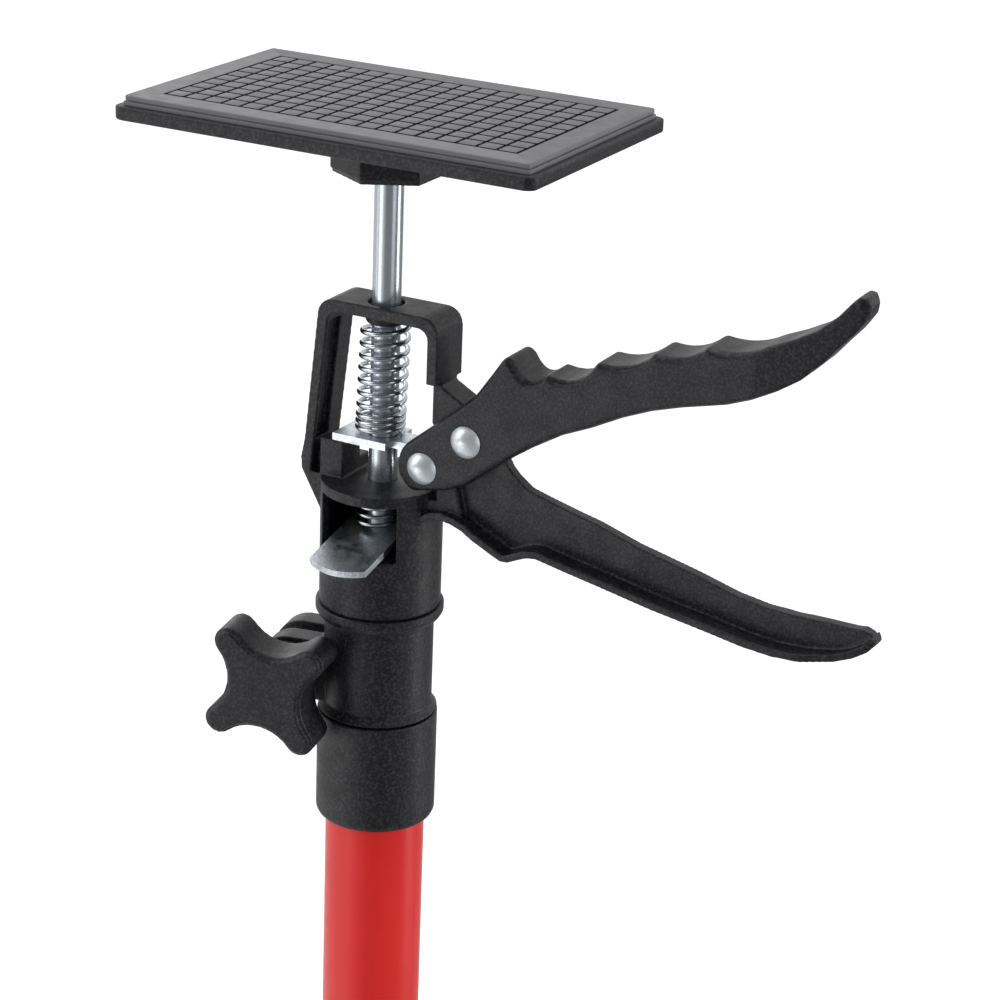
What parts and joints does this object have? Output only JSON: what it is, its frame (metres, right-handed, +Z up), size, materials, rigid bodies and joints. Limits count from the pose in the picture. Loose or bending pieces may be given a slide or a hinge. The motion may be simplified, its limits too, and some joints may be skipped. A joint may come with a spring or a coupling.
{
  "type": "telescopic drywall support pole",
  "caption": "Telescopic pole with a squeeze-handle rod feed, release tab, clamp knob and swivelling rubber-faced pads at both ends, for holding boards against a ceiling.",
  "frame": {"origin": "centre of the foot pad's lower face, on the pole's axis", "axes": "+Z up along the pole towards the upper pad, +X towards the squeeze handles, -Y towards the release tab"},
  "size_m": [0.221, 0.081, 1.15],
  "materials": {
    "black_plastic": "glass-filled nylon with a fine satin grain",
    "red_paint": "glossy red powder coat",
    "zinc_steel": "bright zinc plate",
    "spring_steel": "bright zinc-plated spring wire",
    "rubber_pad": "matt moulded rubber"
  },
  "bodies": {
    "pole": {"foot_plug": "black_plastic", "outer_tube": "red_paint", "lock_collar": "black_plastic", "clamp_nut": "zinc_steel"},
    "foot_swivel": {"foot_ball": "zinc_steel"},
    "foot": {"foot_rubber": "rubber_pad", "foot_plate": "black_plastic", "foot_socket_ring": "black_plastic"},
    "knob": {"clamp_knob": "black_plastic", "knob_stud": "zinc_steel"},
    "head": {"inner_tube": "zinc_steel", "tube_guide": "black_plastic", "head_body": "black_plastic", "pivot_rivet": "zinc_steel", "drive_spring": "spring_steel", "release_spring": "spring_steel"},
    "lever": {"lever": "black_plastic", "nose_rivet": "zinc_steel"},
    "drive": {"drive_plate": "zinc_steel"},
    "release": {"release_plate": "zinc_steel"},
    "rod": {"push_rod": "zinc_steel", "rod_stop": "zinc_steel"},
    "pad_swivel": {"pad_ball": "zinc_steel"},
    "pad": {"pad_socket_ring": "black_plastic", "pad_plate": "black_plastic", "pad_rubber": "rubber_pad"}
  },
  "joints": [
    {"name": "foot_spin", "type": "hinge", "parent": "pole", "child": "foot_swivel", "pos_m": [0, 0, 0.0126], "axis": [0, 0, 1], "continuous": true},
    {"name": "foot_tilt", "type": "hinge", "parent": "foot_swivel", "child": "foot", "pos_m": [0, 0, 0.0126], "axis": [0, 1, 0], "range_deg": [-12, 12]},
    {"name": "knob_turn", "type": "hinge", "parent": "pole", "child": "knob", "pos_m": [-0.02442, -0.00431, 0.9781], "axis": [0.1736, -0.9848, 0], "range_deg": [0, 360]},
    {"name": "head_slide", "type": "slide", "parent": "pole", "child": "head", "axis": [0, 0, 1], "range_m": [0, 0.75]},
    {"name": "lever_squeeze", "type": "hinge", "parent": "head", "child": "lever", "pos_m": [0.0312, 0, 1.0585], "axis": [0, 1, 0], "range_deg": [0, 25], "stiffness_Nm_per_rad": 0.6, "springref_deg": -17.19},
    {"name": "drive_rise", "type": "slide", "parent": "head", "child": "drive", "axis": [0, 0, 1], "range_m": [0, 0.007], "deforming": ["drive_spring"]},
    {"name": "release_press", "type": "hinge", "parent": "head", "child": "release", "pos_m": [0, 0.0162, 1.0285], "axis": [-1, 0, 0], "range_deg": [0, 10], "stiffness_Nm_per_rad": 0.05, "springref_deg": -5.73, "deforming": ["release_spring"]},
    {"name": "rod_feed", "type": "slide", "parent": "head", "child": "rod", "axis": [0, 0, 1], "range_m": [-0.033, 0.06]},
    {"name": "pad_spin", "type": "hinge", "parent": "rod", "child": "pad_swivel", "pos_m": [0, 0, 1.1374], "axis": [0, 0, 1], "continuous": true},
    {"name": "pad_tilt", "type": "hinge", "parent": "pad_swivel", "child": "pad", "pos_m": [0, 0, 1.1374], "axis": [0, 1, 0], "range_deg": [-12, 12]}
  ],
  "couplings": [
    {"joint": "drive_rise", "follows": "lever_squeeze", "m_per_rad": 0.01586}
  ]
}
